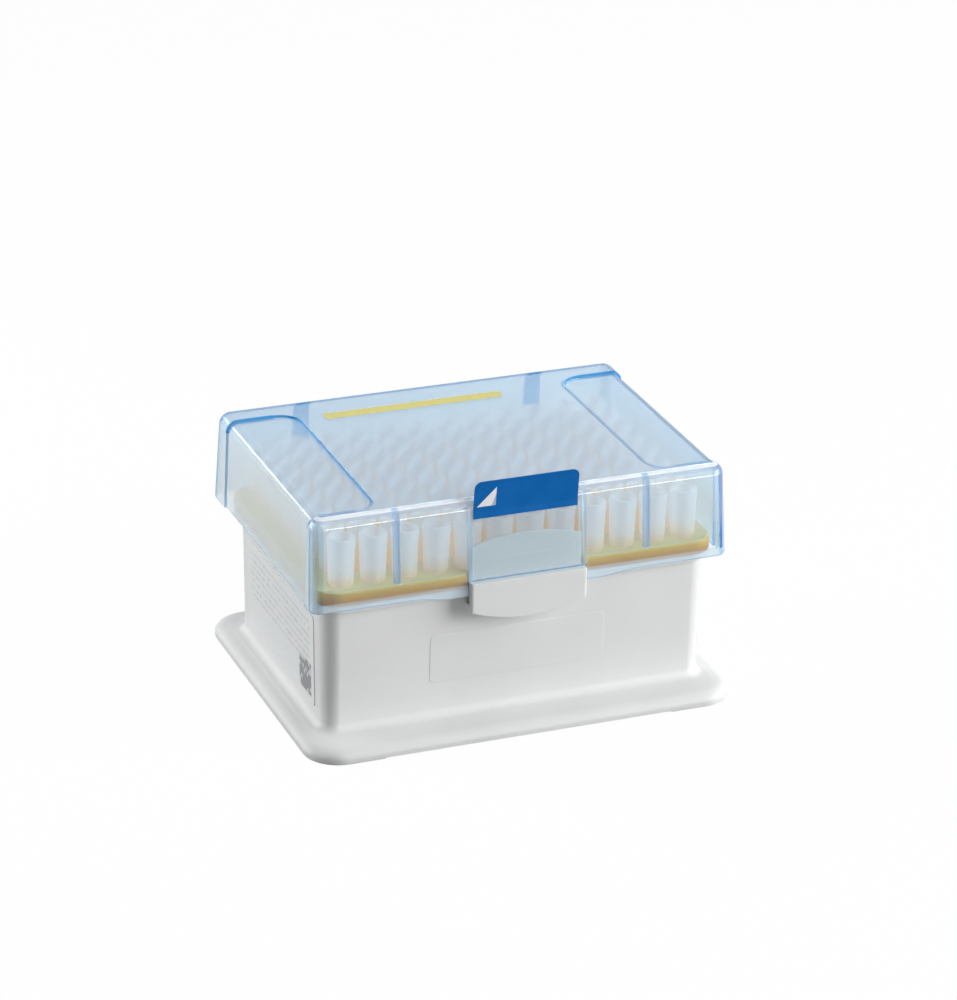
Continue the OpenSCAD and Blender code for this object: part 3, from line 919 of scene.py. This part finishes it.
def make_lid():
    """The lid with its ribs, arms, knuckles and pins joined on, and its notches cut out."""
    lid = lid_shell().piece("lid_moulding")
    for way in (-1, 1):
        carve(lid, front_rib(way * rib_x, 1.6, 0.9), "UNION")
        carve(lid, front_rib(latch_x + way * panel_x, 1.2, 0.4), "UNION")
        carve(lid, hinge_arm(way * hinge_x), "UNION")
        carve(lid, turned(way * hinge_x, arm_half, knuckle_r), "UNION")
    notch = Shell()
    notch_low = (latch_x - notch_x, lid_low.y - 1, lid_bottom - 3)
    notch.block(notch_low, (latch_x + notch_x, lid_low.y + 3, rim_z + 2.5))
    carve(lid, notch)
    for way in (-1, 1):
        for lug in (-1, 1):
            near, far = sorted(way * hinge_x + lug * x for x in (arm_half, arm_half + lug_t + 2 * lug_gap))
            slot = Shell()
            slot.block((near, hinge_y - 2, lid_bottom - 2), (far, lid_high.y + 1, hinge_z + 3.4))
            carve(lid, slot)
    for way in (-1, 1):
        carve(lid, turned(way * hinge_x, pin_half, pin_r), "UNION")
    return smooth(lid, 62)


# ---- tray and tips ----


def tray_border():
    """The tray's outer skirt and the flat margin round its field of holes."""
    shell = Shell()
    rings = []
    notch = [latch_x + x for x in (-notch_x - 0.05, -notch_x, notch_x, notch_x + 0.05)]
    notch_y = -36.04

    def border(cut_y, *profile):
        for inset, height in profile:
            corner = max(flange_corner - inset, 0.5)
            points = rounded(rim_w - 2 * inset, rim_d - 2 * inset, corner, stops_x=notch)
            cut = [y < 0 and abs(x - latch_x) < notch_x + 0.02 for x, y in points]
            rings.append([(x, cut_y if c else y, height) for c, (x, y) in zip(cut, points)])

    border(notch_y + skirt + 0.04, (skirt, seat_z - plate), (skirt, rim_z))
    border(notch_y, (0.3, rim_z), (0.0, rim_z + 0.25), (0.0, seat_z - 0.6))
    border(notch_y, *arc((0.6, seat_z - 0.6), 0.6, 180, 90, 5)[1:], (1.2, seat_z))
    rows = shell.loft(rings, caps=(False, False))

    # the margin meets each cell's square at the square's own points
    sides = [pitch / 2 * math.tan(math.radians(turn)) for turn in range(-45, 45, 15)]
    right, far = tips_across / 2 * pitch, tips_deep / 2 * pitch
    xs = [(i + 0.5) * pitch - right + side for i in range(tips_across) for side in sides] + [right]
    ys = [(j + 0.5) * pitch - far + side for j in range(tips_deep) for side in sides] + [far]
    field = [(x, -far) for x in xs] + [(right, y) for y in ys[1:]]
    field += [(x, far) for x in reversed(xs[:-1])] + [(-right, y) for y in reversed(ys[1:-1])]
    for row, height in ((rows[-1], seat_z), (rows[0], seat_z - plate)):
        fan(shell, row, shell.ring([(x, y, height) for x, y in field]))
    return shell


def fan(shell, outer, inner):
    """Triangles between two closed rows that run the same way round, by nearness."""

    def gap(one, other):
        return (shell.points[one] - shell.points[other]).length

    start = min(range(len(inner)), key=lambda k: gap(outer[0], inner[k]))
    a, b = outer + outer[:1], inner[start:] + inner[: start + 1]
    i = j = 0
    while i < len(outer) or j < len(inner):
        if j == len(inner) or (i < len(outer) and gap(a[i + 1], b[j]) <= gap(a[i], b[j + 1])):
            shell.faces.append((a[i], a[i + 1], b[j]))
            i += 1
        else:
            shell.faces.append((a[i], b[j + 1], b[j]))
            j += 1


def tray_cell():
    """One square of the tray with its hole, a soft lip and the sleeve below."""
    shell = Shell()
    turns = [math.radians(turn) for turn in range(0, 360, 15)]

    def square(height):
        reach = [pitch / 2 / max(abs(math.cos(t)), abs(math.sin(t))) for t in turns]
        return [(r * math.cos(t), r * math.sin(t), height) for r, t in zip(reach, turns)]

    def circle(radius, height):
        return [(radius * math.cos(t), radius * math.sin(t), height) for t in turns]

    hole, sleeve, sleeve_low = 2.95, 3.55, -4.0
    rows = [
        square(0.0), circle(hole + 0.35, 0.0), circle(hole + 0.1, -0.05), circle(hole, -0.3),
        circle(hole, sleeve_low), circle(sleeve, sleeve_low), circle(sleeve, -plate), square(-plate),
    ]
    shell.loft(rows, caps=(False, False))
    return shell


# half section of a tip over its seat: up the outside, then down the socket and the bore
tip_profile = (
    (0.48, -39.4), (0.62, -36.5), (1.7, -20.0), (1.78, -19.0), (2.45, -6.0), (2.6, -0.1), (2.75, 0.0),
    (3.22, 0.0), (3.3, 0.12), (3.36, 2.0), (3.53, 10.2), (3.62, 11.0), (3.8, 11.4),
    (3.8, 13.35), (3.7, 13.55), (3.55, 13.6), (2.9, 13.6), (2.75, 13.45), (2.6, 9.0),
    (2.35, 0.9), (2.05, 0.4), (2.0, -1.0), (1.12, -20.0), (0.25, -39.4),
)


def hub_flutes(radius, height, step):
    """Fine upright flutes round the outside of the hub, below its rim."""
    depth, inside, low, high = 0.13, 3.3, 1.0, 11.2
    fluted = radius > inside and low < height < high
    return depth if fluted and step % 2 else 0.0


def grid_tree(name, inputs):
    """Geometry Nodes: copies of a piece on a grid of places, joined to the piece itself.

    Gives the tree and the identifier of each named input."""
    tree = bpy.data.node_groups.new(name, "GeometryNodeTree")
    tree.interface.new_socket("Geometry", in_out="OUTPUT", socket_type="NodeSocketGeometry")
    tree.interface.new_socket("Geometry", in_out="INPUT", socket_type="NodeSocketGeometry")
    names = {}
    for label, (kind, value) in inputs.items():
        made = tree.interface.new_socket(label, in_out="INPUT", socket_type=f"NodeSocket{kind}")
        if kind in ("Int", "Float"):
            made.default_value = value
        names[label] = made.identifier
    nodes = Nodes(tree)
    given = nodes.add("NodeGroupInput").beside
    columns, rows, spacing = given("Columns"), given("Rows"), given("Pitch")
    grid = nodes.add(
        "GeometryNodeMeshGrid",
        inputs={
            "Size X": (columns - 1) * spacing, "Size Y": (rows - 1) * spacing,
            "Vertices X": columns, "Vertices Y": rows,
        },
    )
    lift = nodes.add("ShaderNodeCombineXYZ", inputs={"Z": given("Height")})
    places = nodes.add("GeometryNodeTransform", inputs={"Geometry": grid, "Translation": lift})
    source = nodes.add(
        "GeometryNodeObjectInfo", inputs={"Object": given("Copied piece")}, output="Geometry"
    )
    spin = nodes.add(
        "FunctionNodeRandomValue", {"data_type": "FLOAT"},
        {"Max": given("Random turn"), "Seed": given("Seed")}, output="Value",
    )
    turns = nodes.add("ShaderNodeCombineXYZ", inputs={"Z": spin})
    copies = nodes.add(
        "GeometryNodeInstanceOnPoints",
        inputs={"Points": places, "Instance": source, "Rotation": turns},
    )
    joined = nodes.add("GeometryNodeJoinGeometry", inputs={0: copies})
    tree.links.new(given("Geometry").socket, joined.socket.node.inputs[0])
    real = nodes.add("GeometryNodeRealizeInstances", inputs={"Geometry": joined})
    welded = nodes.add(
        "GeometryNodeMergeByDistance", inputs={"Geometry": real, "Distance": 0.005 * mm}
    )
    finished = nodes.add(
        "GeometryNodeSetMaterial", inputs={"Geometry": welded, "Material": given("Material")}
    )
    tree.links.new(finished.socket, tree.nodes.new("NodeGroupOutput").inputs[0])
    return tree, names


def laid_out(name, own, copied, material, turn=0.0):
    """A piece of its own shell with copies of another on the grid of tip places."""
    obj = own.piece(name)
    source = copied.piece(name + "_source")
    inputs = {
        "Copied piece": ("Object", source), "Columns": ("Int", tips_across), "Rows": ("Int", tips_deep),
        "Pitch": ("Float", pitch * mm), "Height": ("Float", seat_z * mm), "Random turn": ("Float", turn),
        "Seed": ("Int", 7), "Material": ("Material", material),
    }
    tree, names = grid_tree(name + "_grid", inputs)
    spread = obj.modifiers.new("grid", "NODES")
    spread.node_group = tree
    for label, (_, value) in inputs.items():
        spread[names[label]] = value
    settle(obj)
    bpy.data.objects.remove(source)
    return obj


# ---- labels and print ----


def seal_shell():
    """Film on the lid's front wall with a free flap above it, round at its four corners."""
    middle, half, thick, corner, flap = 0.5, 15.0, 0.25, 2.0, 9.2
    low = rim_z + 2.7
    face = front_inside(low) - lid_wall - 0.02
    height = lid_edge_z - low
    flap_lean = math.radians(4)
    # the rows' distances along the film, close together at its corners and where it leaves the wall
    corner_rows = [corner * (1 - math.cos(math.radians(t))) for t in range(0, 91, 15)]
    rows = corner_rows + [height * k / 6 for k in range(1, 6)]
    rows += [height + s for s in (-0.6, -0.2, 0.2, 0.6, 2.5, 5.0)]
    rows += [height + flap - s for s in reversed(corner_rows)]
    shell = Shell()
    fronts, backs = [], []
    for s in rows:
        near = max(0.0, corner - min(s, height + flap - s))
        width = half - corner + math.sqrt(max(0.0, corner**2 - near**2))
        on_wall, over = min(s, height), max(0.0, s - height)
        y = face + lid_slope * on_wall - over * math.sin(flap_lean) - 0.004 * over**2
        z = low + on_wall + over * math.cos(flap_lean)
        xs = [middle + width * k / 6 for k in range(-6, 7)]
        fronts.append(shell.ring([(x, y - thick, z) for x in xs]))
        backs.append(shell.ring([(x, y, z) for x in xs]))
    borders = []
    for sheet in (fronts, backs):
        shell.bands(sheet, closed=False)
        right, left = [r[-1] for r in sheet[1:-1]], [r[0] for r in sheet[-2:0:-1]]
        borders.append(sheet[0] + right + sheet[-1][::-1] + left)
    shell.band(*borders)
    return shell


def label_shell():
    """Paper label on the left end wall."""
    middle, size, wall = (label_low + label_high) / 2, label_high - label_low, flange_out - rim_w / 2

    def spot(y, up, out):
        z = middle.z + up
        return wall + body_lean(z) - out, middle.y + y, z

    layers = ((0.02, 0.0), (0.2, 0.0), (0.22, 0.04), (0.22, 0.5))
    return plate_shell(size.y, size.z, 1.5, layers, spot)


def stripe_shell():
    """The printed stripe near the back of the lid's top."""
    middle_x, middle_y = -6.3, 29.3

    def spot(x, y, out):
        return middle_x + x, middle_y + y, lid_top + out

    layers = ((0.01, 0.0), (0.05, 0.0), (0.06, 0.03), (0.06, 0.4))
    return plate_shell(52.6, 4.0, 0.8, layers, spot, steps=5)


# ---- the pieces ----


def finish_piece(obj, material, body, slot, *nodes):
    """Gives a piece its material and its body, and hides the CAD nodes that it stands for. Its slot is not
    used.
    """
    if not obj.data.materials:
        obj.data.materials.append(material)
    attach(obj, body)
    if nodes:
        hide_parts(*nodes)


white = white_plastic()
finish_piece(smooth(base_shell().piece("base_moulding")), white, "rack", "base", "base")
for name, shell in (("press_tab", press_tab()), ("name_panel", name_panel()), ("hinge_lugs", hinge_lugs())):
    finish_piece(smooth(shell.piece(name)), white, "rack", "base")

amber = amber_plastic()
tray = smooth(laid_out("tray_moulding", tray_border(), tray_cell(), amber))
finish_piece(tray, amber, "rack", "tray", "tray")

milky = tip_plastic()
tip = lathe(tip_profile, 24, hub_flutes)
tips = smooth(laid_out("tips", Shell(), tip, milky, 2 * math.pi), 50)
tip_nodes = [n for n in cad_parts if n.startswith("tips_column")]
finish_piece(tips, milky, "rack", "tips", *tip_nodes)

finish_piece(make_lid(), clear_blue(), "lid", "lid", "lid")

seal = smooth(seal_shell().piece("seal_film"))
finish_piece(seal, seal_film(print_z=62.5), "lid", "seal_label", "seal_label")
paper = smooth(label_shell().piece("end_label_paper"))
finish_piece(paper, label_paper(label_low, label_high), "rack", "end_label", "end_label")
stripe = smooth(stripe_shell().piece("lid_stripe"))
finish_piece(stripe, yellow_ink(), "lid", "seal_label")


# ---- studio ----


def direction(heading, height):
    """The way to a place heading degrees round from the front and height degrees up."""
    around, up = math.radians(heading), math.radians(height)
    return Vector((math.sin(around) * math.cos(up), -math.cos(around) * math.cos(up), math.sin(up)))


def soft_light(name, heading, height, distance, size, power, only_shine=False):
    """A softbox heading degrees round from the front and height degrees up, distance metres away.

    One that is only for shine shows in glossy surfaces and gives no other light."""
    lamp = bpy.data.lights.new(name, "AREA")
    lamp.shape, (lamp.size, lamp.size_y), lamp.energy = "RECTANGLE", size, power
    obj = bpy.data.objects.new(name, lamp)
    away = direction(heading, height)
    obj.location = away * distance
    obj.rotation_euler = away.to_track_quat("Z", "Y").to_euler()
    if only_shine:
        obj.visible_diffuse = False
    bpy.context.scene.collection.objects.link(obj)


def white_air():
    """White surroundings, dimmer for scattered light so that the lamps shape the box."""
    f = Finish("studio", "worlds")
    scattered = f.add("ShaderNodeLightPath", output="Is Diffuse Ray")
    level = f.fade(scattered, 0.0, 1.0, 1.0, 0.25, way="LINEAR")
    air = f.add("ShaderNodeBackground", inputs={"Color": (1.0, 1.0, 1.0), "Strength": level})
    bpy.context.scene.world = f.done(air, kind="World")


def white_floor(half):
    """A square floor, half millimetres from its middle to its sides."""
    ground = Shell()
    corners = [(-half, -half, 0), (half, -half, 0), (half, half, 0), (-half, half, 0)]
    ground.faces.append(ground.ring(corners))
    floor = ground.piece("studio_floor")
    if floor.data.polygons[0].normal.z < 0:
        floor.data.flip_normals()
    floor.data.materials.append(studio_floor())


def place_camera(spot, heading, height, roll, focal_length):
    """A camera at a spot in metres, looking from heading degrees round from the front and height
    degrees up, rolled by some degrees."""
    around, roll = math.radians(heading), math.radians(roll)
    back = direction(heading, height)
    level_right = Vector((math.cos(around), math.sin(around), 0.0))
    level_up = back.cross(level_right)
    right = level_right * math.cos(roll) + level_up * math.sin(roll)
    top = level_up * math.cos(roll) - level_right * math.sin(roll)
    lens = bpy.data.cameras.new("camera")
    lens.lens, lens.sensor_width, lens.sensor_fit = focal_length, 36.0, "AUTO"
    lens.clip_end = 20.0
    camera = bpy.data.objects.new("camera", lens)
    turned_to = Matrix((right, top, back)).transposed().to_4x4()
    camera.matrix_world = Matrix.Translation(spot) @ turned_to
    bpy.context.scene.collection.objects.link(camera)
    bpy.context.scene.camera = camera


soft_light("right_softbox", 58, 19, 1.2, (0.8, 0.8), 15.5)
soft_light("left_softbox", -122, 15, 0.6, (0.4, 0.4), 2.4)
soft_light("top_softbox", 160, 80, 1.2, (0.9, 0.9), 2.0)
soft_light("front_edge_strip", 20, 9, 1.2, (0.5, 0.12), 2.6, only_shine=True)
soft_light("roof_edge_strip", 147, 51, 1.2, (0.5, 0.12), 2.2, only_shine=True)
soft_light("left_edge_shine", -155, 20, 1.2, (0.2, 0.2), 0.45, only_shine=True)

white_air()
white_floor(half=4000)
place_camera((-0.37437, -0.93863, 0.49751), heading=-21.86, height=23.88, roll=1.20, focal_length=144.12)

bpy.context.scene.view_settings.view_transform = "Standard"
